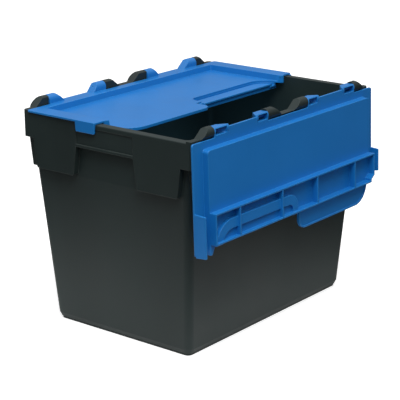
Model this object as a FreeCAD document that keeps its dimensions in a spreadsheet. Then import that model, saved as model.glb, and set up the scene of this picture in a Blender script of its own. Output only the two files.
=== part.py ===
"""Attached-lid stacking crate, 400 x 300 mm footprint, about 310 mm tall.

Frame: millimetres, +Z up, origin at the middle of the underside of the foot.
X runs along the crate, the lids hinge along the two long sides at +Y and -Y.
The rear lid (+Y) is modelled closed and the front lid (-Y) hanging open.
"""
import FreeCAD, Part
import math
import os
import re
import Sketcher
from FreeCAD import Placement, Rotation, Vector

doc = FreeCAD.newDocument("StackingCrate")

# Driving dimensions: name, value in millimetres or degrees, what it is.
DIMENSIONS = (
    ("foot_half_x", 169.2, "foot ring, half length"),
    ("foot_half_y", 114.0, "foot ring, half width"),
    ("foot_radius", 6.5, "foot ring, corner radius"),
    ("foot_height", 3.5, "height of the foot ring"),
    ("foot_ring", 20.0, "width of the foot ring"),
    ("shoulder_step", 1.5, "how far the shoulder stands out over the foot"),
    ("base_half_x", 173.1, "bottom of the wall, half length"),
    ("base_half_y", 117.9, "bottom of the wall, half width"),
    ("base_radius", 9.0, "bottom of the wall, corner radius"),
    ("base_level", 9.3, "height where the drafted wall starts"),
    ("knee_half_x", 188.5, "top of the drafted wall, half length"),
    ("knee_half_y", 133.3, "top of the drafted wall, half width"),
    ("knee_radius", 10.0, "top of the drafted wall, corner radius"),
    ("knee_level", 218.0, "height where the wall turns upright"),
    ("wall", 2.5, "thickness of the crate wall"),
    ("floor_level", 6.0, "top face of the crate floor"),
    ("floor_sheet", 3.0, "thickness of the crate floor"),
    ("seat_level", 294.2, "rim face that the closed lids lie on"),
    ("rail_level", 296.4, "top of the raised rail behind the lids"),
    ("rail_inner", 135.4, "inner face of the raised rail"),
    ("flange", 3.0, "thickness of the rim flange"),
    ("skirt_half_x", 197.3, "outer face of the skirt, half length"),
    ("skirt_half_y", 143.6, "outer face of the skirt, half width"),
    ("skirt_radius", 4.5, "skirt corner radius"),
    ("skirt_wall", 2.4, "thickness of the skirt"),
    ("band_level", 260.2, "lower edge of the shallow skirt band"),
    ("tab_level", 220.2, "lower edge of the deep end tabs"),
    ("tab_near_high", 48.8, "end tab, inner edge where it leaves the band"),
    ("tab_near_low", 54.4, "end tab, inner edge at its foot"),
    ("tab_far_high", 126.2, "end tab, outer edge where it leaves the band"),
    ("tab_far_low", 120.6, "end tab, outer edge at its foot"),
    ("side_level", 216.0, "lower edge of the deep side tabs"),
    ("side_near_high", 104.0, "side tab, inner edge where it leaves the band"),
    ("side_near_low", 108.0, "side tab, inner edge at its foot"),
    ("side_far_high", 187.2, "side tab, outer edge where it leaves the band"),
    ("side_far_low", 181.6, "side tab, outer edge at its foot"),
    ("tab_round", 3.0, "rounding of the tabs' lower corners"),
    ("handle_recess", 1.2, "step back of the handle face"),
    ("handle_top", 288.0, "top of the stepped back handle face"),
    ("handle_lip", 3.6, "height of the rolled handle lip"),
    ("rim_round", 1.6, "rounding of the outer rim edge"),
    ("axis_y", 140.6, "hinge axis, distance from the middle"),
    ("axis_z", 301.4, "hinge axis, height"),
    ("hang_angle", 268.2, "degrees that the hanging lid is opened by"),
    ("knuckle_radius", 7.5, "hinge knuckle radius"),
    ("knuckle_flat", 5.0, "flat back of the lid knuckle, out from the axis"),
    ("knuckle_wall", 1.8, "wall of the hollow lid knuckle"),
    ("hollow_roof", 3.4, "solid above the hollow of the lid knuckle"),
    ("hollow_inner", 4.7, "hollow of the lid knuckle, inwards from the axis"),
    ("hollow_foot", 4.0, "solid at the sloping end of the lid knuckle"),
    ("seat_radius", 8.9, "trough in the rim under the lid knuckles"),
    ("split_outer", 156.4, "joint face of the outer knuckle pair"),
    ("split_inner", 44.6, "joint face of the inner knuckle pair"),
    ("split_gap", 0.25, "half of the gap between two knuckles"),
    ("crate_outer_foot", 181.5, "outer crate knuckle, far end at its foot"),
    ("crate_outer_crown", 166.0, "outer crate knuckle, far end at its crown"),
    ("crate_inner_foot", 14.0, "inner crate knuckle, far end at its foot"),
    ("crate_inner_crown", 30.0, "inner crate knuckle, far end at its crown"),
    ("lid_outer_foot", 127.2, "outer lid knuckle, far end at its foot"),
    ("lid_outer_crown", 141.5, "outer lid knuckle, far end at its crown"),
    ("lid_inner_foot", 70.4, "inner lid knuckle, far end at its foot"),
    ("lid_inner_crown", 59.8, "inner lid knuckle, far end at its crown"),
    ("strip_gap", 0.4, "gap between a lid knuckle and the border strip beside it"),
    ("pin_radius", 2.25, "hinge pin radius"),
    ("pin_grip", 14.0, "length of pin held in the crate knuckle"),
    ("pin_reach", 19.5, "length of pin inside the lid knuckle"),
    ("pin_fit", 0.02, "radial gap of the pin in the crate knuckle"),
    ("pin_play", 0.15, "radial gap of the pin in the lid knuckle"),
    ("pin_end", 0.5, "how much deeper a bore is than its pin"),
    ("lid_half_x", 200.0, "lid border, half length"),
    ("lid_top", 297.1, "top face of the lid border"),
    ("plate", 2.5, "lid sheet thickness"),
    ("hinge_edge", 133.4, "lid border edge beside the crate knuckles"),
    ("knuckle_edge", 135.0, "lid border edge under the lid knuckles"),
    ("strip_edge", 142.6, "lid border edge between two lid knuckles"),
    ("lid_round", 3.5, "lid corner rounding"),
    ("well_depth", 8.5, "depth of the sunk lid panel"),
    ("well_half_x", 175.8, "sunk panel, half length at the border"),
    ("well_half_y", 121.5, "sunk panel, hinge side edge at the border"),
    ("well_slope", 1.2, "inward lean of the sunk panel's sides"),
    ("well_round", 2.0, "inner corner radius of the sunk panel"),
    ("tongue_border", 12.9, "free end of the border at the tongue end"),
    ("rebate_border", 8.0, "free end of the border at the rebate end, past the middle"),
    ("lug_top", 170.0, "rebate end lug, inner edge at the free edge"),
    ("lug_foot", 178.0, "rebate end lug, inner edge at its end"),
    ("lug_end", 10.4, "end of the rebate end lug, past the middle"),
    ("free_edge", 3.4, "rib line beside the middle of the crate"),
    ("ledge_edge", 1.0, "edge of the stepped down sheet beside the middle"),
    ("tongue_reach", 24.8, "tongue tip, past the middle"),
    ("tongue_far", 172.8, "tongue, outer end"),
    ("tongue_near", 7.0, "tongue, inner end"),
    ("tongue_round", 30.0, "tongue, outer corner radius"),
    ("tongue_corner", 13.0, "tongue, inner corner radius"),
    ("lip_depth", 1.5, "lip under the edge of the tongue"),
    ("lip_wall", 2.2, "thickness of the lip"),
    ("rebate_gap", 0.8, "gap between tongue and pocket"),
    ("rebate_drop", 3.2, "depth of the pocket that takes the tongue"),
    ("groove_drop", 3.2, "further depth of the groove that takes the lip"),
    ("groove_inset", 5.4, "inner edge of the groove, in from the tongue outline"),
    ("groove_near", 10.2, "groove, inner edge at the inner end"),
    ("groove_corner", 11.0, "groove, inner corner radius at the inner end"),
    ("groove_step", 0.2, "step between the pocket wall and the groove wall"),
    ("bead", 1.8, "how far the groove's underside stands out past the pocket"),
    ("rib_depth", 9.6, "depth of the ribs under the panel"),
    ("rib_wall", 2.2, "thickness of the ribs"),
    ("rib_back", 42.0, "long rib on the hinge side"),
    ("rib_end", 181.0, "outer face of the end ribs"),
    ("notch_end", 173.4, "outer face of the ribs beside the notch"),
    ("notch_low", 7.7, "notch, edge nearer the middle"),
    ("tab_sheet", 2.3, "thickness of the lid's end tabs"),
    ("short_tab_far", 46.6, "tongue end tab, far edge"),
    ("short_tab_drop", 15.0, "tongue end tab, depth"),
    ("long_tab_near", 10.2, "rebate end tab, near edge, past the middle"),
    ("long_tab_far", 45.7, "rebate end tab, far edge"),
    ("long_tab_drop", 18.8, "rebate end tab, depth"),
    ("tab_taper", 1.0, "how much a lid tab narrows at each edge, and its corner radius"),
    ("join", 2.0, "how far joined features run into each other"),
    ("overrun", 5.0, "how far a cut runs past the piece"),
)

# Coordinates this close, in millimetres, are the same.
SAME_PLACE = 0.01

# Cross ribs under a lid, by their distance along X.
CROSS_RIBS = (-131.0, -40.0, 40.0, 131.0)


def make_sheet():
    """Fill the spreadsheet that drives every size in the document."""
    cells = doc.addObject("Spreadsheet::Sheet", "Dimensions")
    for row, (name, value, meaning) in enumerate(DIMENSIONS, start=1):
        cells.set("A%d" % row, meaning)
        cells.set("B%d" % row, str(value))
        cells.setAlias("B%d" % row, name)
    doc.recompute()
    return cells


sheet = make_sheet()


def bound(expression):
    """Point each dimension name of an expression at its cell."""
    return re.sub(r"[a-z_]+", lambda name: "Dimensions." + name.group(0), expression)


def value_of(expression):
    """The present value of an expression of dimension names."""
    return float(sheet.evalExpression(bound(expression)))


# ---- sketch helpers ----

def new_body(name):
    return doc.addObject("PartDesign::Body", name)


def add_sketch(body, name, role, level="0"):
    """A sketch on one of the body's origin planes, moved along its normal."""
    sketch = body.newObject("Sketcher::SketchObject", name)
    plane = [item for item in body.Origin.OriginFeatures if item.Role == role][0]
    sketch.AttachmentSupport = [(plane, "")]
    sketch.MapMode = "FlatFace"
    sketch.setExpression("AttachmentOffset.Base.z", bound(level))
    return sketch


def fix_distance(sketch, kind, geometry, point, expression):
    """Hold one point at a driven distance from the sketch origin."""
    index = sketch.addConstraint(
        Sketcher.Constraint(kind, -1, 1, geometry, point, value_of(expression)))
    sketch.setExpression("Constraints[%d]" % index, bound(expression))


def outline(sketch, corners):
    """Draw a closed, driven outline; a corner is (x, y) or (x, y, radius)."""
    count = len(corners)
    places = [Vector(value_of(corner[0]), value_of(corner[1]), 0) for corner in corners]
    arrive = list(places)
    leave = list(places)
    for index, corner in enumerate(corners):
        if len(corner) == 3:
            back = (places[index - 1] - places[index]).normalize()
            ahead = (places[(index + 1) % count] - places[index]).normalize()
            reach = value_of(corner[2]) / math.tan(back.getAngle(ahead) / 2)
            arrive[index] = places[index] + back * reach
            leave[index] = places[index] + ahead * reach
    lines = [sketch.addGeometry(Part.LineSegment(leave[index], arrive[(index + 1) % count]))
             for index in range(count)]
    for index, corner in enumerate(corners):
        before, after = lines[index - 1], lines[index]
        if len(corner) == 2:
            sketch.addConstraint(Sketcher.Constraint("Coincident", before, 2, after, 1))
            fix_distance(sketch, "DistanceX", after, 1, corner[0])
            fix_distance(sketch, "DistanceY", after, 1, corner[1])
        else:
            round_off(sketch, before, after, places[index], arrive[index], leave[index], corner)


def round_off(sketch, before, after, place, start, stop, corner):
    """Join two lines with a tangent arc and hold their meeting point."""
    radius = value_of(corner[2])
    turn = (place - start).cross(stop - place).z
    inward = (start + stop) * 0.5 - place
    centre = place + inward.normalize() * math.hypot(radius, (start - place).Length)
    circle = Part.Circle(centre, Vector(0, 0, 1), radius)
    first, last = (start, stop) if turn > 0 else (stop, start)
    arc = sketch.addGeometry(
        Part.ArcOfCircle(circle, circle.parameter(first), circle.parameter(last)))
    start_point, stop_point = (1, 2) if turn > 0 else (2, 1)
    sketch.addConstraint(Sketcher.Constraint("Tangent", before, 2, arc, start_point))
    sketch.addConstraint(Sketcher.Constraint("Tangent", arc, stop_point, after, 1))
    index = sketch.addConstraint(Sketcher.Constraint("Radius", arc, radius))
    sketch.setExpression("Constraints[%d]" % index, bound(corner[2]))
    meeting = sketch.addGeometry(Part.Point(place), True)
    sketch.addConstraint(Sketcher.Constraint("PointOnObject", meeting, 1, before))
    sketch.addConstraint(Sketcher.Constraint("PointOnObject", meeting, 1, after))
    fix_distance(sketch, "DistanceX", meeting, 1, corner[0])
    fix_distance(sketch, "DistanceY", meeting, 1, corner[1])


def rectangle(sketch, left, right, low, high, radius=None):
    """A driven rectangle, with rounded corners if a radius is given."""
    corners = ((left, low), (right, low), (right, high), (left, high))
    if radius:
        corners = tuple(corner + (radius,) for corner in corners)
    outline(sketch, corners)


def ring_shape(sketch, half_x, half_y, radius):
    """A rounded rectangle centred on the sketch origin."""
    rectangle(sketch, "-(%s)" % half_x, half_x, "-(%s)" % half_y, half_y, radius)


def disc(sketch, across, up, radius):
    """A driven circle."""
    centre = Vector(value_of(across), value_of(up), 0)
    circle = sketch.addGeometry(Part.Circle(centre, Vector(0, 0, 1), value_of(radius)))
    fix_distance(sketch, "DistanceX", circle, 3, across)
    fix_distance(sketch, "DistanceY", circle, 3, up)
    index = sketch.addConstraint(Sketcher.Constraint("Radius", circle, value_of(radius)))
    sketch.setExpression("Constraints[%d]" % index, bound(radius))


# ---- feature helpers ----

def add_pad(body, sketch, length, midplane=False):
    """Raise a sketch along its normal, or to both sides of it."""
    pad = body.newObject("PartDesign::Pad", sketch.Name.replace("Sketch", "Pad"))
    pad.Profile = sketch
    pad.Midplane = midplane
    pad.setExpression("Length", bound(length))
    doc.recompute()
    return pad


def add_pocket(body, sketch, length, midplane=False):
    """Cut a sketch along its normal, and make sure that it removed something."""
    before = body.Shape.Volume
    pocket = body.newObject("PartDesign::Pocket", sketch.Name.replace("Sketch", "Pocket"))
    pocket.Profile = sketch
    pocket.Midplane = midplane
    pocket.Reversed = not midplane
    pocket.setExpression("Length", bound(length))
    doc.recompute()
    if not body.Shape.Volume < before - 1:
        raise RuntimeError(pocket.Name + " cuts nothing")
    return pocket


def add_loft(body, kind, name, sketches):
    """A straight-sided loft through sketches."""
    loft = body.newObject("PartDesign::" + kind, name)
    loft.Profile = sketches[0]
    loft.Sections = sketches[1:]
    loft.Ruled = True
    doc.recompute()
    return loft


def round_edges(body, name, radius, wanted):
    """Fillet the body's edges that pass a test."""
    base = body.Tip
    names = ["Edge%d" % number for number, edge in enumerate(base.Shape.Edges, start=1)
             if wanted(edge)]
    fillet = body.newObject("PartDesign::Fillet", name)
    fillet.Base = (base, names)
    fillet.setExpression("Radius", bound(radius))
    doc.recompute()
    return fillet


# ---- crate body ----

def crate_shell():
    """Solid outer form of the crate, hollowed afterwards."""
    body = new_body("CrateShell")
    foot = add_sketch(body, "FootSketch", "XY_Plane")
    ring_shape(foot, "foot_half_x", "foot_half_y", "foot_radius")
    add_pad(body, foot, "foot_height")
    shoulder = add_sketch(body, "ShoulderSketch", "XY_Plane", "foot_height")
    ring_shape(shoulder, "foot_half_x + shoulder_step", "foot_half_y + shoulder_step",
               "foot_radius + shoulder_step")
    base = add_sketch(body, "BaseSketch", "XY_Plane", "base_level")
    ring_shape(base, "base_half_x", "base_half_y", "base_radius")
    add_loft(body, "AdditiveLoft", "ShoulderLoft", [shoulder, base])
    knee = add_sketch(body, "KneeSketch", "XY_Plane", "knee_level")
    ring_shape(knee, "knee_half_x", "knee_half_y", "knee_radius")
    lower = add_sketch(body, "LowerWallSketch", "XY_Plane", "base_level")
    ring_shape(lower, "base_half_x", "base_half_y", "base_radius")
    add_loft(body, "AdditiveLoft", "WallLoft", [lower, knee])
    upper = add_sketch(body, "UpperWallSketch", "XY_Plane", "knee_level")
    ring_shape(upper, "knee_half_x", "knee_half_y", "knee_radius")
    add_pad(body, upper, "rail_level - knee_level")
    band = add_sketch(body, "BandSketch", "XY_Plane", "band_level")
    ring_shape(band, "skirt_half_x", "skirt_half_y", "skirt_radius")
    add_pad(body, band, "rail_level - band_level")
    add_skirt_tabs(body)
    add_knuckle_bars(body)
    hollow_crate(body)
    shape_rim(body)
    return body


def tab_outline(sketch, side, low, near, far):
    """One deep skirt tab: a tapering flap with rounded lower corners."""
    corners = [(near + "_high", "band_level + join"), (near + "_low", low, "tab_round"),
               (far + "_low", low, "tab_round"), (far + "_high", "band_level + join")]
    if side < 0:
        corners = [("-" + corner[0],) + corner[1:] for corner in reversed(corners)]
    outline(sketch, corners)


def add_skirt_tabs(body):
    """Deep tabs that stiffen the skirt beside the handles and the corners."""
    ends = add_sketch(body, "EndTabSketch", "YZ_Plane")
    sides = add_sketch(body, "SideTabSketch", "XZ_Plane")
    for side in (1, -1):
        tab_outline(ends, side, "tab_level", "tab_near", "tab_far")
        tab_outline(sides, side, "side_level", "side_near", "side_far")
    add_pad(body, ends, "2 * skirt_half_x", midplane=True)
    add_pad(body, sides, "2 * skirt_half_y", midplane=True)


def add_knuckle_bars(body):
    """Crate half of the hinges: a round bar on a plinth, cut into eight knuckles."""
    plinth = add_sketch(body, "PlinthSketch", "YZ_Plane")
    rectangle(plinth, "rail_inner", "skirt_half_y", "seat_level", "axis_z")
    rectangle(plinth, "-skirt_half_y", "-rail_inner", "seat_level", "axis_z")
    add_pad(body, plinth, "2 * crate_outer_foot", midplane=True)
    bar = add_sketch(body, "BarSketch", "YZ_Plane")
    disc(bar, "axis_y", "axis_z", "knuckle_radius")
    disc(bar, "-axis_y", "axis_z", "knuckle_radius")
    add_pad(body, bar, "2 * crate_outer_foot", midplane=True)
    gaps = add_sketch(body, "BarGapSketch", "XZ_Plane")
    crown = "axis_z + knuckle_radius"
    outline(gaps, (("-crate_inner_foot", "rail_level"), ("crate_inner_foot", "rail_level"),
                   ("crate_inner_crown", crown), ("crate_inner_crown", crown + " + overrun"),
                   ("-crate_inner_crown", crown + " + overrun"), ("-crate_inner_crown", crown)))
    for sign in ("", "-"):
        rectangle(gaps, sign + "(split_inner - split_gap)", sign + "(split_outer + split_gap)",
                  "rail_level", crown + " + overrun")
        outline(gaps, ((sign + "crate_outer_foot", "rail_level"),
                       (sign + "(crate_outer_foot + overrun)", "rail_level"),
                       (sign + "(crate_outer_foot + overrun)", crown + " + overrun"),
                       (sign + "crate_outer_crown", crown + " + overrun"),
                       (sign + "crate_outer_crown", crown)))
    add_pocket(body, gaps, "2 * (axis_y + knuckle_radius + overrun)", midplane=True)


def hollow_crate(body):
    """The inside of the crate, the space under the foot and behind the skirt."""
    floor = add_sketch(body, "FloorSketch", "XY_Plane", "floor_level")
    ring_shape(floor, "base_half_x - wall", "base_half_y - wall", "base_radius - wall")
    knee = add_sketch(body, "InnerKneeSketch", "XY_Plane", "knee_level")
    ring_shape(knee, "knee_half_x - wall", "knee_half_y - wall", "knee_radius - wall")
    add_loft(body, "SubtractiveLoft", "CavityLoft", [floor, knee])
    mouth = add_sketch(body, "MouthSketch", "XY_Plane", "knee_level")
    ring_shape(mouth, "knee_half_x - wall", "knee_half_y - wall", "knee_radius - wall")
    add_pocket(body, mouth, "rail_level - knee_level + overrun")
    under = add_sketch(body, "UnderFootSketch", "XY_Plane")
    ring_shape(under, "foot_half_x - foot_ring", "foot_half_y - foot_ring", "foot_radius")
    add_pocket(body, under, "floor_level - floor_sheet")
    behind = add_sketch(body, "BandVoidSketch", "XY_Plane", "band_level")
    ring_shape(behind, "skirt_half_x - skirt_wall", "skirt_half_y - skirt_wall",
               "skirt_radius - skirt_wall")
    ring_shape(behind, "knee_half_x", "knee_half_y", "knee_radius")
    add_pocket(body, behind, "seat_level - flange - band_level")
    end_voids = add_sketch(body, "EndVoidSketch", "XY_Plane", "tab_level")
    side_voids = add_sketch(body, "SideVoidSketch", "XY_Plane", "side_level")
    for across in ("", "-"):
        for along in ("", "-"):
            rectangle(end_voids, across + "knee_half_x", across + "(skirt_half_x - skirt_wall)",
                      along + "(tab_near_low + skirt_wall)", along + "(tab_far_low - skirt_wall)")
            rectangle(side_voids, across + "(side_near_low + skirt_wall)",
                      across + "(side_far_low - skirt_wall)",
                      along + "knee_half_y", along + "(skirt_half_y - skirt_wall)")
    add_pocket(body, end_voids, "seat_level - flange - tab_level")
    add_pocket(body, side_voids, "seat_level - flange - side_level")


def shape_rim(body):
    """Lower the rim where the lids lie, step the handles back, round the end rims."""
    seat = add_sketch(body, "SeatSketch", "XY_Plane", "seat_level")
    rectangle(seat, "-(skirt_half_x + overrun)", "skirt_half_x + overrun", "-rail_inner", "rail_inner")
    add_pocket(body, seat, "axis_z + knuckle_radius - seat_level + overrun")
    handles = add_sketch(body, "HandleSketch", "XY_Plane", "band_level + handle_lip")
    for sign in ("", "-"):
        rectangle(handles, sign + "(skirt_half_x - handle_recess)", sign + "(skirt_half_x + overrun)",
                  "-tab_near_high", "tab_near_high")
    add_pocket(body, handles, "handle_top - band_level - handle_lip")
    seat_level = value_of("seat_level")
    end_face = value_of("skirt_half_x")

    def is_end_rim(edge):
        box = edge.BoundBox
        level = abs(box.ZMin - seat_level) + abs(box.ZMax - seat_level) < SAME_PLACE
        across = box.XLength < SAME_PLACE
        return level and across and abs(abs(box.XMin) - end_face) < SAME_PLACE

    round_edges(body, "RimFillet", "rim_round", is_end_rim)


def lengthwise_rod(name, start, length, side, radius):
    """A round rod on one of the two hinge axes."""
    rod = doc.addObject("Part::Cylinder", name)
    rod.Placement = Placement(Vector(0, 0, 0), Rotation(Vector(0, 1, 0), 90))
    rod.setExpression("Placement.Base.x", bound(start))
    rod.setExpression("Placement.Base.y", bound("%d * axis_y" % side))
    rod.setExpression("Placement.Base.z", bound("axis_z"))
    rod.setExpression("Radius", bound(radius))
    rod.setExpression("Height", bound(length))
    return rod


# Where each hinge pin of one long side starts, from -X to +X.
PIN_STARTS = ("-(split_outer + pin_grip)", "-(split_inner + pin_reach)",
              "split_inner - pin_grip", "split_outer - pin_reach")

# Where the crate's bore for each of those pins starts.
CRATE_BORE_STARTS = ("-(split_outer + pin_grip + pin_end)", "-split_inner",
                     "split_inner - pin_grip - pin_end", "split_outer")

# Where the lid's bore for each of those pins starts.
LID_BORE_STARTS = ("-(split_outer + pin_end)", "-(split_inner + pin_reach + pin_end)",
                   "split_inner - pin_end", "split_outer - pin_reach - pin_end")


def make_crate():
    """The crate body with its troughs and pin bores."""
    shell = crate_shell()
    tools = []
    for side, tag in ((1, "Rear"), (-1, "Front")):
        for start in ("split_inner - split_gap", "-(split_outer + split_gap)"):
            tools.append(lengthwise_rod(tag + "Trough", start,
                                        "split_outer - split_inner + 2 * split_gap",
                                        side, "seat_radius"))
        for start in CRATE_BORE_STARTS:
            tools.append(lengthwise_rod(tag + "CrateBore", start, "pin_grip + pin_end",
                                        side, "pin_radius + pin_fit"))
    cutters = doc.addObject("Part::MultiFuse", "CrateCutters")
    cutters.Shapes = tools
    crate = doc.addObject("Part::Cut", "Crate")
    crate.Base = shell
    crate.Tool = cutters
    crate.Label = "crate_body"
    return crate


# ---- lids ----

PANEL_UNDER = "lid_top - well_depth - plate"
POCKET_FLOOR = "lid_top - well_depth - rebate_drop"
GROOVE_FLOOR = "lid_top - well_depth - rebate_drop - groove_drop"


def tongue_outline(sketch, grow, mate, root, near=None, near_radius=None):
    """The rounded tongue, or the pocket of the other lid when mate is -1."""
    tip = "tongue_reach + (%s)" % grow
    far = "tongue_far + (%s)" % grow
    near = near or "tongue_near - (%s)" % grow
    near_radius = near_radius or "tongue_corner + (%s)" % grow
    corners = [(far, root), (far, tip, "tongue_round + (%s)" % grow),
               (near, tip, near_radius), (near, root)]
    flip = "-1" if mate > 0 else "1"
    outline(sketch, [("%s * (%s)" % (flip, place[0]), "%s * (%s)" % (flip, place[1]))
                     + place[2:] for place in corners])


def add_lid_knuckles(body):
    """Lid half of the hinges: four hollow knuckles with a flat back, open underneath."""
    bar = add_sketch(body, "LidBarSketch", "YZ_Plane")
    disc(bar, "axis_y", "axis_z", "knuckle_radius")
    add_pad(body, bar, "2 * (split_outer - split_gap)", midplane=True)
    web = add_sketch(body, "LidWebSketch", "YZ_Plane")
    rectangle(web, "axis_y - knuckle_radius", "axis_y", "lid_top - plate", "axis_z")
    add_pad(body, web, "2 * (split_outer - split_gap)", midplane=True)
    crown = "axis_z + knuckle_radius"
    foot = "axis_z - knuckle_radius - overrun"
    flat = add_sketch(body, "KnuckleFlatSketch", "YZ_Plane")
    rectangle(flat, "axis_y + knuckle_flat", "axis_y + knuckle_radius + overrun",
              foot, crown + " + overrun")
    add_pocket(body, flat, "2 * split_outer", midplane=True)
    gaps = add_sketch(body, "LidGapSketch", "XZ_Plane")
    rectangle(gaps, "-(split_inner + split_gap)", "split_inner + split_gap",
              foot, crown + " + overrun")
    for sign in ("", "-"):
        outline(gaps, ((sign + "lid_inner_foot", foot), (sign + "lid_outer_foot", foot),
                       (sign + "lid_outer_foot", "lid_top"), (sign + "lid_outer_crown", crown),
                       (sign + "lid_outer_crown", crown + " + overrun"),
                       (sign + "lid_inner_crown", crown + " + overrun"),
                       (sign + "lid_inner_crown", crown), (sign + "lid_inner_foot", "lid_top")))
    add_pocket(body, gaps, "2 * (axis_y + knuckle_radius + overrun)", midplane=True)
    hollows = add_sketch(body, "LidHollowSketch", "XZ_Plane",
                         "-(axis_y + knuckle_flat - knuckle_wall)")
    ceiling = crown + " - hollow_roof"
    for sign in ("", "-"):
        outline(hollows, ((sign + "(split_inner + split_gap + knuckle_wall)", foot),
                          (sign + "(lid_inner_foot - hollow_foot)", foot),
                          (sign + "(lid_inner_foot - hollow_foot)", "lid_top"),
                          (sign + "lid_inner_crown", ceiling),
                          (sign + "(split_inner + split_gap + knuckle_wall)", ceiling)))
        outline(hollows, ((sign + "(split_outer - split_gap - knuckle_wall)", foot),
                          (sign + "(lid_outer_foot + hollow_foot)", foot),
                          (sign + "(lid_outer_foot + hollow_foot)", "lid_top"),
                          (sign + "lid_outer_crown", ceiling),
                          (sign + "(split_outer - split_gap - knuckle_wall)", ceiling)))
    add_pocket(body, hollows, "knuckle_flat - knuckle_wall + hollow_inner")


def add_border(body):
    """The flat border that lies on the rim, with strips of sheet at the hinges."""
    border = add_sketch(body, "BorderSketch", "XY_Plane", "lid_top - plate")
    inner_x = "well_half_x - join"
    inner_y = "well_half_y - join"
    edge = [("lid_half_x", "hinge_edge", "lid_round")]
    for sign, order in (("", 1), ("-", -1)):
        steps = [(sign + "(split_outer - split_gap)", "hinge_edge"),
                 (sign + "(split_outer - split_gap)", "knuckle_edge"),
                 (sign + "(lid_outer_foot - strip_gap)", "knuckle_edge"),
                 (sign + "(lid_outer_foot - strip_gap)", "strip_edge"),
                 (sign + "(lid_inner_foot + strip_gap)", "strip_edge"),
                 (sign + "(lid_inner_foot + strip_gap)", "knuckle_edge"),
                 (sign + "(split_inner + split_gap)", "knuckle_edge"),
                 (sign + "(split_inner + split_gap)", "hinge_edge")]
        edge += steps[::order]
    edge += [("-lid_half_x", "hinge_edge", "lid_round"), ("-lid_half_x", "tongue_border"),
             ("-(%s)" % inner_x, "tongue_border"), ("-(%s)" % inner_x, inner_y),
             (inner_x, inner_y), (inner_x, "-rebate_border"),
             ("lid_half_x", "-rebate_border")]
    outline(border, edge[::-1])
    add_pad(body, border, "plate")


def well_sketch(body, name, level, grow):
    """Outline of the sunk panel's outer skin at one level."""
    sketch = add_sketch(body, name, "XY_Plane", level)
    half_y = "well_half_y + (%s)" % grow
    outer_round = "well_round + plate"
    outline(sketch, (("lug_foot", "-lug_end"), ("rib_end", "-lug_end"),
                     ("rib_end", half_y, outer_round), ("-rib_end", half_y, outer_round),
                     ("-rib_end", "tongue_border"), ("-notch_end", "notch_low"),
                     ("-notch_end", "free_edge"), ("lug_top", "free_edge")))
    return sketch


def add_well(body):
    """The sunk panel: an outer block, then the space above it."""
    low = well_sketch(body, "WellLowSketch", "lid_top - well_depth - plate", "plate - well_slope")
    high = well_sketch(body, "WellHighSketch", "lid_top", "plate")
    add_loft(body, "AdditiveLoft", "WellLoft", [low, high])
    inside = []
    for name, level, grow in (("Floor", "lid_top - well_depth", "-well_slope"),
                              ("Brim", "lid_top + well_depth", "well_slope")):
        sketch = add_sketch(body, "Well%sSketch" % name, "XY_Plane", level)
        rectangle(sketch, "-(well_half_x + (%s))" % grow, "well_half_x + (%s)" % grow,
                  "-tongue_reach", "well_half_y + (%s)" % grow, "well_round")
        inside.append(sketch)
    add_loft(body, "SubtractiveLoft", "WellCut", inside)


def add_tongue(body):
    """The tongue that reaches over the other lid, with a lip under its edge."""
    root = "-tongue_border - join"
    sheet_sketch = add_sketch(body, "TongueSketch", "XY_Plane", PANEL_UNDER)
    tongue_outline(sheet_sketch, "0", 1, root)
    add_pad(body, sheet_sketch, "plate")
    lip = add_sketch(body, "LipSketch", "XY_Plane", PANEL_UNDER + " - lip_depth")
    tongue_outline(lip, "0", 1, root)
    tongue_outline(lip, "-lip_wall", 1, root + " + rib_wall / 2")
    add_pad(body, lip, "lip_depth + plate / 2")
    trim = add_sketch(body, "LipTrimSketch", "XY_Plane", PANEL_UNDER + " - lip_depth")
    rectangle(trim, "-(tongue_far + join)", "-(tongue_near - join)",
              "free_edge + rib_wall / 2", "tongue_border + 2 * join")
    add_pocket(body, trim, "lip_depth")


def add_ledge(body):
    """The stepped down sheet under the other lid's tongue, and the groove's underside."""
    root = "tongue_reach - tongue_round - join"
    ledge = add_sketch(body, "LedgeSketch", "XY_Plane", POCKET_FLOOR + " - plate")
    tongue_outline(ledge, "rebate_gap + plate", -1, root)
    add_pad(body, ledge, "rebate_drop")
    band = add_sketch(body, "GrooveBandSketch", "XY_Plane", GROOVE_FLOOR + " - rib_wall")
    tongue_outline(band, "rebate_gap + plate + bead", -1, root)
    tongue_outline(band, "-groove_inset - plate", -1, root + " + join / 2",
                   "groove_near + plate", "groove_corner - plate")
    add_pad(body, band, "groove_drop + rebate_drop + rib_wall - plate")
    trim = add_sketch(body, "LedgeTrimSketch", "XY_Plane", GROOVE_FLOOR + " - rib_wall - overrun")
    rectangle(trim, "-overrun", "well_half_x + overrun", "-tongue_round", "ledge_edge")
    add_pocket(body, trim, "groove_drop + rebate_drop + rib_wall - plate + overrun")


def cut_rebate(body):
    """The pocket at the free edge that takes the other lid's tongue and its lip."""
    pocket = add_sketch(body, "RebateSketch", "XY_Plane", POCKET_FLOOR)
    tongue_outline(pocket, "rebate_gap", -1, "tongue_reach - tongue_round - overrun")
    add_pocket(body, pocket, "rebate_drop + well_depth - plate")
    groove = add_sketch(body, "GrooveSketch", "XY_Plane", GROOVE_FLOOR)
    tongue_outline(groove, "rebate_gap - groove_step", -1, "tongue_reach - tongue_round - overrun")
    tongue_outline(groove, "-groove_inset", -1, "tongue_reach - tongue_round - join",
                   "groove_near", "groove_corner")
    add_pocket(body, groove, "groove_drop")


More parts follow.
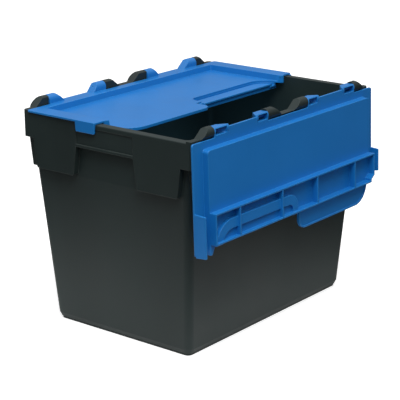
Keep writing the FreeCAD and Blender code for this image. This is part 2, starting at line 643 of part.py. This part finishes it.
def add_ribs(body):
    """A frame of ribs with cells between them, under the panel's free side."""
    ribs = add_sketch(body, "RibSketch", "XY_Plane", PANEL_UNDER + " - rib_depth")
    outline(ribs, (("-notch_end", "free_edge"), ("rib_end", "free_edge"),
                   ("rib_end", "rib_back + rib_wall"), ("-rib_end", "rib_back + rib_wall"),
                   ("-rib_end", "tongue_border"), ("-notch_end", "notch_low")))
    low, high = "free_edge + rib_wall", "rib_back"
    walls = ["-rib_end"] + ["%g" % place for place in CROSS_RIBS] + ["rib_end"]
    for number, (left, right) in enumerate(zip(walls, walls[1:])):
        left_face = left + (" + rib_wall" if number == 0 else " + rib_wall / 2")
        right_face = right + (" - rib_wall" if right == "rib_end" else " - rib_wall / 2")
        if number == 0:
            outline(ribs, (("-notch_end + rib_wall", low), (right_face, low),
                           (right_face, high), (left_face, high),
                           (left_face, "tongue_border + rib_wall / 2"),
                           ("-notch_end + rib_wall", "notch_low + rib_wall / 2")))
        else:
            rectangle(ribs, left_face, right_face, low, high)
    add_pad(body, ribs, "rib_depth")


def add_end_tab(body, name, level, near, far, drop):
    """A tab at one end of the lid that hangs over the skirt."""
    sketch = add_sketch(body, name, "YZ_Plane", level)
    outline(sketch, ((near, "lid_top - plate"),
                     (near + " + tab_taper", "lid_top - " + drop, "tab_taper"),
                     (far + " - tab_taper", "lid_top - " + drop, "tab_taper"),
                     (far, "lid_top - plate")))
    add_pad(body, sketch, "tab_sheet")


def make_lid(label, placement):
    """One lid, drawn closed at the rear, then put in its place."""
    body = new_body("LidShell")
    body.AllowCompound = True
    add_lid_knuckles(body)
    add_border(body)
    add_well(body)
    add_tongue(body)
    add_ledge(body)
    add_ribs(body)
    cut_rebate(body)
    add_end_tab(body, "LongTabSketch", "lid_half_x - tab_sheet", "-long_tab_near",
                "long_tab_far", "long_tab_drop")
    add_end_tab(body, "ShortTabSketch", "-lid_half_x", "tongue_border",
                "short_tab_far", "short_tab_drop")
    bores = doc.addObject("Part::MultiFuse", "LidBores")
    bores.Shapes = [lengthwise_rod("LidBore", start, "pin_reach + 2 * pin_end", 1,
                                   "pin_radius + pin_play") for start in LID_BORE_STARTS]
    lid = doc.addObject("Part::Cut", "Lid")
    lid.Base = body
    lid.Tool = bores
    lid.Label = label
    lid.Placement = placement
    return lid


def hanging_placement():
    """Turn the rear lid end for end and swing it open at the front."""
    turned = Placement(Vector(0, 0, 0), Rotation(Vector(0, 0, 1), 180))
    axis = Vector(0, -value_of("axis_y"), value_of("axis_z"))
    swing = Rotation(Vector(1, 0, 0), value_of("hang_angle"))
    return Placement(Vector(0, 0, 0), swing, axis).multiply(turned)


def make_pins(tag, side):
    """The four hinge pins of one long side, numbered from -X to +X."""
    pins = []
    for number, start in enumerate(PIN_STARTS, start=1):
        pin = lengthwise_rod(tag.capitalize() + "Pin", start, "pin_grip + pin_reach",
                             side, "pin_radius")
        pin.Label = "%s_hinge_pin_%d" % (tag, number)
        pins.append(pin)
    return pins


def check_document(parts):
    """Stop if any object failed or a piece isn't one sound solid."""
    for item in doc.Objects:
        if "Invalid" in item.State or "Error" in item.State:
            raise RuntimeError("%s failed: %s" % (item.Name, item.getStatusString()))
    for item in parts:
        shape = item.Shape
        if shape.isNull() or not shape.isValid() or len(shape.Solids) != 1:
            raise RuntimeError("%s has %d solids, valid %s"
                               % (item.Label, len(shape.Solids), shape.isValid()))


parts = [make_crate()]
parts.append(make_lid("rear_lid", Placement()))
parts.append(make_lid("front_lid", hanging_placement()))
parts += make_pins("rear", 1)
parts += make_pins("front", -1)
doc.recompute()
check_document(parts)
os.makedirs("parts", exist_ok=True)
for item in parts:
    item.Shape.exportStep("parts/%s.step" % item.Label)
    box = item.Shape.BoundBox
    print("%-18s %9.1f mm3  x %.1f..%.1f  y %.1f..%.1f  z %.1f..%.1f"
          % (item.Label, item.Shape.Volume, box.XMin, box.XMax, box.YMin, box.YMax,
             box.ZMin, box.ZMax))
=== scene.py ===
"""Looks for the attached-lid stacking crate: plastics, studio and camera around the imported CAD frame.

Lengths are in metres and colours are linear. The CAD pieces keep their shapes and places.
"""
import math

import bpy
from mathutils import Matrix, Vector

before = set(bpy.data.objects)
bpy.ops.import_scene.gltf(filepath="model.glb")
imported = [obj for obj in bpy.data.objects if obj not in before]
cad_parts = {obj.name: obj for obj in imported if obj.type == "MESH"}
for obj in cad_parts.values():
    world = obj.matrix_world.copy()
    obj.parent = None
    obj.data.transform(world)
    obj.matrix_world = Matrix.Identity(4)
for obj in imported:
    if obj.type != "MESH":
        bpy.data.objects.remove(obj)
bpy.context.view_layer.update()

# ---- softened edges of the CAD pieces ----
WELD_REACH = 0.000002
FLAT_ANGLE = math.radians(0.6)
EDGE_ROUND = 0.0007
EDGE_SEGMENTS = 2
EDGE_ANGLE = math.radians(28)

# ---- surface of the moulded plastics; each noise is (scale, detail, roughness) ----
ROUNDING_RADIUS = 0.0012
ROUNDING_SAMPLES = 6
# edge mask for the lighter edge colour: rubbed wear plus a painted highlight where light would catch the
# rounded edges
WEAR_AND_HIGHLIGHT_START, WEAR_AND_HIGHLIGHT_FULL = 0.995, 0.86
RUB_NOISE = (38.0, 4.0, 0.65)
RUB_RANGE = (0.42, 0.66)
RUB_SHARE = 0.6
MOTTLE_NOISE = (9.0, 3.0, 0.6)
MOTTLE_RANGE = (0.3, 0.7)
MOTTLE_SHARE = 0.6
FLOW_NOISE = (14.0, 2.0, 0.5)
FLOW_STRETCH = (1, 1, 0.08)
FLOW_RANGE = (0.35, 0.65)
GRAIN_DETAIL, GRAIN_ROUGHNESS = 2.0, 0.55
RIPPLE_NOISE = (26.0, 1.0, 0.4)
RIPPLE_HEIGHT = 0.00006
SHINE_SPREAD = 0.10
SHEEN, SHEEN_ROUGHNESS = 0.02, 0.45

# ---- floor: plain paper to the camera, a round table with dark surroundings to the object ----
FLOOR_REACH = 12.0
PAPER_LIGHT, PAPER_SHADE = 0.90, 0.88
PAPER_NOISE = (1.3, 2.0)
PAPER_RANGE = (0.3, 0.7)
PAPER_ROUGHNESS = 0.7
FLOOR_LIFT = 0.48
TABLE_CENTRE = (-0.05, 0.08, 0)
TABLE_NEAR = 0.25
TABLE_FAR = 0.52
TABLE_BRIGHT = (0.96, 0.96, 0.95, 1)
TABLE_DARK = (0.06, 0.06, 0.06, 1)

# ---- light ----
SKY_LOW, SKY_HIGH = 0.25, 0.85
HORIZON_LIGHT = 0.24
OVERHEAD_LIGHT = 1.08
KEY_PLACE = (-0.92, -0.90, 2.11)
KEY_AIM = (0, 0, 0.2)
KEY_SIZE = 0.9
KEY_WATTS = 31
GLOW_PLACE = (0.05, 0.02, 0.14)
GLOW_SIZE = 0.05
GLOW_WATTS = 0.45
GLOW_COLOUR = (0.55, 0.8, 1.0)

# ---- camera, angles in degrees ----
CAMERA_AZIMUTH = 51.14
CAMERA_ELEVATION = 17.04
CAMERA_ROLL = 0.40
CAMERA_DISTANCE = 2.1568
CAMERA_AIM = Vector((0.0809, 0.0673, 0.1170))
CAMERA_CLIP = 50
LENS_MM = 131.98
SENSOR_MM = 36.0


# ---- material helpers ----

class Nodes:
    """Short calls for building a material's node tree."""

    def __init__(self, name):
        self.material = bpy.data.materials.new(name)
        self.material.use_nodes = True
        self.tree = self.material.node_tree
        self.tree.nodes.clear()
        self.position = self.add("ShaderNodeTexCoord").outputs["Object"]

    def add(self, kind, inputs=None, **settings):
        """Add a node with its settings, and feed its inputs by name or number."""
        node = self.tree.nodes.new(kind)
        for key, value in settings.items():
            setattr(node, key, value)
        for key, value in (inputs or {}).items():
            self.feed(node.inputs[key], value)
        return node

    def feed(self, socket, value):
        """Link a socket to another node's output, or give it a plain value."""
        if isinstance(value, bpy.types.NodeSocket):
            self.tree.links.new(value, socket)
        else:
            socket.default_value = value

    def math(self, operation, first, second):
        return self.add("ShaderNodeMath", {0: first, 1: second}, operation=operation).outputs[0]

    def mix(self, factor, first, second):
        """Blend two colours: sockets 0, 6 and 7 are the factor and the colours, output 2 the result."""
        return self.add("ShaderNodeMix", {0: factor, 6: first, 7: second}, data_type="RGBA").outputs[2]

    def noise(self, scale, detail, roughness=0.5, stretch=(1, 1, 1)):
        mapping = self.add("ShaderNodeMapping", {"Vector": self.position, "Scale": stretch})
        noise = self.add("ShaderNodeTexNoise", {"Vector": mapping.outputs[0], "Scale": scale,
                                                "Detail": detail, "Roughness": roughness})
        return noise.outputs["Fac"]

    def ramp(self, factor, low, high):
        """Stretch the range low to high over 0 to 1."""
        return self.add("ShaderNodeMapRange", {"Value": factor, "From Min": low, "From Max": high}).outputs[0]


def wear_and_edge_highlight(n, rounded, share):
    """How strongly each spot gets the lighter edge colour, which is rubbed wear plus a painted highlight:
    most where the rounded normal leaves the flat one, in patches.
    """
    geometry = n.add("ShaderNodeNewGeometry")
    agreement = n.add("ShaderNodeVectorMath", {0: rounded, 1: geometry.outputs["Normal"]},
                      operation="DOT_PRODUCT")
    edge = n.ramp(agreement.outputs["Value"], WEAR_AND_HIGHLIGHT_START, WEAR_AND_HIGHLIGHT_FULL)
    rub = n.ramp(n.noise(*RUB_NOISE), *RUB_RANGE)
    rubbed = n.math("ADD", n.math("MULTIPLY", rub, RUB_SHARE), 1 - RUB_SHARE)
    return n.math("MULTIPLY", n.math("MULTIPLY", edge, rubbed), share)


def mottled_tone(n, mottle, colour, streaks):
    """The plastic's colour, a little deeper and lighter in mottles and upright flow streaks."""
    flow = n.ramp(n.noise(*FLOW_NOISE, stretch=FLOW_STRETCH), *FLOW_RANGE)
    deep = tuple(channel * (1 - streaks) for channel in colour[:3]) + (1,)
    light = tuple(min(1, channel * (1 + streaks)) for channel in colour[:3]) + (1,)
    blend = n.math("ADD", n.math("MULTIPLY", mottle, MOTTLE_SHARE),
                   n.math("MULTIPLY", flow, 1 - MOTTLE_SHARE))
    return n.mix(blend, deep, light)


def grained_normal(n, rounded, grain_scale, grain_height):
    """Fine grain over slow ripples, laid on the rounded normal."""
    grain = n.noise(grain_scale, GRAIN_DETAIL, GRAIN_ROUGHNESS)
    height = n.math("ADD", n.math("MULTIPLY", grain, grain_height),
                    n.math("MULTIPLY", n.noise(*RIPPLE_NOISE), RIPPLE_HEIGHT))
    return n.add("ShaderNodeBump", {"Strength": 1.0, "Distance": 1.0, "Height": height,
                                    "Normal": rounded}).outputs[0]


def moulded_plastic(name, colour, wear_and_highlight_colour, grain_scale, grain_height, roughness, specular,
                    edge_share, streaks):
    """Injection moulded plastic: fine grain, flow streaks, slight mottling, and edges lightened by rubbing
    and by a painted highlight.
    """
    n = Nodes(name)
    rounded = n.add("ShaderNodeBevel", {"Radius": ROUNDING_RADIUS}, samples=ROUNDING_SAMPLES).outputs[0]
    mottle = n.ramp(n.noise(*MOTTLE_NOISE), *MOTTLE_RANGE)
    tone = mottled_tone(n, mottle, colour, streaks)
    shine = n.math("ADD", roughness, n.math("MULTIPLY", n.math("SUBTRACT", mottle, 0.5), SHINE_SPREAD))
    shader = n.add("ShaderNodeBsdfPrincipled", {
        # lighter edges: partly wear, partly a painted highlight of light catching the rounded edges
        "Base Color": n.mix(wear_and_edge_highlight(n, rounded, edge_share), tone, wear_and_highlight_colour),
        "Roughness": shine,
        "Specular IOR Level": specular,
        "Sheen Weight": SHEEN,
        "Sheen Roughness": SHEEN_ROUGHNESS,
        "Normal": grained_normal(n, rounded, grain_scale, grain_height)})
    n.add("ShaderNodeOutputMaterial", {"Surface": shader.outputs[0]})
    return n.material


def crate_plastic():
    # the second, lighter colour is edge wear plus a painted edge highlight
    return moulded_plastic("crate_plastic", colour=(0.0135, 0.0235, 0.023, 1), wear_and_highlight_colour=(0.075, 0.09, 0.085, 1),
                           grain_scale=1500.0, grain_height=0.00005, roughness=0.48, specular=0.32,
                           edge_share=0.6, streaks=0.16)


def lid_plastic():
    # the second, lighter colour is edge wear plus a painted edge highlight
    return moulded_plastic("lid_plastic", colour=(0.007, 0.173, 0.525, 1), wear_and_highlight_colour=(0.03, 0.34, 0.82, 1),
                           grain_scale=1700.0, grain_height=0.00003, roughness=0.36, specular=0.44,
                           edge_share=0.8, streaks=0.05)


def pin_plastic():
    # the second, lighter colour is edge wear plus a painted edge highlight
    return moulded_plastic("pin_plastic", colour=(0.012, 0.12, 0.42, 1), wear_and_highlight_colour=(0.05, 0.26, 0.66, 1),
                           grain_scale=1700.0, grain_height=0.00002, roughness=0.35, specular=0.45,
                           edge_share=0.3, streaks=0.04)


# ---- looks of the CAD pieces ----

def soften(piece):
    """Merge the flat facets of a CAD mesh and give its sharp edges a small round."""
    weld = piece.modifiers.new("Weld", "WELD")
    weld.merge_threshold = WELD_REACH
    flat = piece.modifiers.new("Flat", "DECIMATE")
    flat.decimate_type = "DISSOLVE"
    flat.angle_limit = FLAT_ANGLE
    bevel = piece.modifiers.new("Round", "BEVEL")
    bevel.width = EDGE_ROUND
    bevel.segments = EDGE_SEGMENTS
    bevel.limit_method = "ANGLE"
    bevel.angle_limit = EDGE_ANGLE
    bevel.use_clamp_overlap = True
    normals = piece.modifiers.new("Normals", "WEIGHTED_NORMAL")
    normals.keep_sharp = True


def dress(nodes):
    """Give every CAD piece its plastic, and soft edges to all but the pins."""
    plastics = {"crate": crate_plastic(), "lid": lid_plastic(), "pin": pin_plastic()}
    for name, piece in nodes.items():
        kind = "pin" if "pin" in name else "lid" if "lid" in name else "crate"
        piece.data.materials.clear()
        piece.data.materials.append(plastics[kind])
        if kind != "pin":
            soften(piece)


# ---- studio ----

def floor_finish():
    """White to the camera; to the object, a bright table whose surroundings fall away into the dark."""
    n = Nodes("floor")
    reach = n.add("ShaderNodeVectorMath", {0: n.position, 1: TABLE_CENTRE}, operation="DISTANCE")
    fall = n.ramp(reach.outputs["Value"], TABLE_NEAR, TABLE_FAR)
    bounce = n.add("ShaderNodeBsdfDiffuse", {"Color": n.mix(fall, TABLE_BRIGHT, TABLE_DARK)})
    light, shade = ((grey, grey, grey, 1) for grey in (PAPER_LIGHT, PAPER_SHADE))
    paper = n.mix(n.ramp(n.noise(*PAPER_NOISE), *PAPER_RANGE), light, shade)
    seen = n.add("ShaderNodeBsdfPrincipled", {"Base Color": paper, "Roughness": PAPER_ROUGHNESS,
                                              "Emission Color": (1, 1, 1, 1),
                                              "Emission Strength": FLOOR_LIFT})
    path = n.add("ShaderNodeLightPath")
    choice = n.add("ShaderNodeMixShader", {0: path.outputs["Is Camera Ray"],
                                           1: bounce.outputs[0], 2: seen.outputs[0]})
    n.add("ShaderNodeOutputMaterial", {"Surface": choice.outputs[0]})
    return n.material


def add_floor():
    mesh = bpy.data.meshes.new("floor")
    reach = FLOOR_REACH
    corners = [(-reach, -reach, 0), (reach, -reach, 0), (reach, reach, 0), (-reach, reach, 0)]
    mesh.from_pydata(corners, [], [(0, 1, 2, 3)])
    mesh.materials.append(floor_finish())
    floor = bpy.data.objects.new("floor", mesh)
    bpy.context.scene.collection.objects.link(floor)


def add_world():
    """Dim round the horizon and bright overhead; plain white where the camera sees it."""
    world = bpy.data.worlds.new("studio")
    world.use_nodes = True
    tree = world.node_tree
    coordinates = tree.nodes.new("ShaderNodeTexCoord")
    split = tree.nodes.new("ShaderNodeSeparateXYZ")
    tree.links.new(coordinates.outputs["Generated"], split.inputs[0])
    sky = tree.nodes.new("ShaderNodeMapRange")
    sky.interpolation_type = "SMOOTHSTEP"
    for socket, value in (("From Min", SKY_LOW), ("From Max", SKY_HIGH),
                          ("To Min", HORIZON_LIGHT), ("To Max", OVERHEAD_LIGHT)):
        sky.inputs[socket].default_value = value
    tree.links.new(split.outputs["Z"], sky.inputs["Value"])
    path = tree.nodes.new("ShaderNodeLightPath")
    choice = tree.nodes.new("ShaderNodeMix")
    tree.links.new(path.outputs["Is Camera Ray"], choice.inputs[0])
    tree.links.new(sky.outputs[0], choice.inputs[2])
    choice.inputs[3].default_value = 1.0
    background = tree.nodes["Background"]
    background.inputs["Color"].default_value = (1, 1, 1, 1)
    tree.links.new(choice.outputs[0], background.inputs["Strength"])
    bpy.context.scene.world = world


def add_lamp(name, light, place):
    """Put a light into the scene and return the object that holds it."""
    lamp = bpy.data.objects.new(name, light)
    lamp.location = place
    bpy.context.scene.collection.objects.link(lamp)
    return lamp


def add_glow():
    """A faint light in the crate for what comes through the thin closed lid; it isn't seen itself."""
    light = bpy.data.lights.new("glow", "POINT")
    light.shadow_soft_size = GLOW_SIZE
    light.energy = GLOW_WATTS
    light.color = GLOW_COLOUR
    lamp = add_lamp("glow", light, GLOW_PLACE)
    lamp.visible_camera = False
    lamp.visible_glossy = False


def add_key():
    """The one soft key light, high on the side that the camera sees."""
    light = bpy.data.lights.new("key", "AREA")
    light.shape = "RECTANGLE"
    light.size = KEY_SIZE
    light.size_y = KEY_SIZE
    light.energy = KEY_WATTS
    lamp = add_lamp("key", light, KEY_PLACE)
    lamp.rotation_euler = (Vector(KEY_AIM) - Vector(KEY_PLACE)).to_track_quat("-Z", "Y").to_euler()


def add_studio():
    add_floor()
    add_world()
    add_glow()
    add_key()
    bpy.context.scene.view_settings.view_transform = "Standard"


def add_camera():
    """The main viewing angle: azimuth 0 looks along +Y, and roll turns the camera in its own plane."""
    azimuth, elevation, roll = (math.radians(angle) for angle in
                                (CAMERA_AZIMUTH, CAMERA_ELEVATION, CAMERA_ROLL))
    forward = Vector((math.sin(azimuth) * math.cos(elevation),
                      math.cos(azimuth) * math.cos(elevation), -math.sin(elevation)))
    level = Vector((math.cos(azimuth), -math.sin(azimuth), 0))
    upright = level.cross(forward)
    right = level * math.cos(roll) - upright * math.sin(roll)
    up = level * math.sin(roll) + upright * math.cos(roll)
    camera = bpy.data.cameras.new("camera")
    camera.lens = LENS_MM
    camera.sensor_width = SENSOR_MM
    camera.clip_end = CAMERA_CLIP
    holder = bpy.data.objects.new("camera", camera)
    turn = Matrix((right, up, -forward)).transposed()
    holder.matrix_world = Matrix.Translation(CAMERA_AIM - forward * CAMERA_DISTANCE) @ turn.to_4x4()
    bpy.context.scene.collection.objects.link(holder)
    bpy.context.scene.camera = holder


dress(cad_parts)
add_studio()
add_camera()
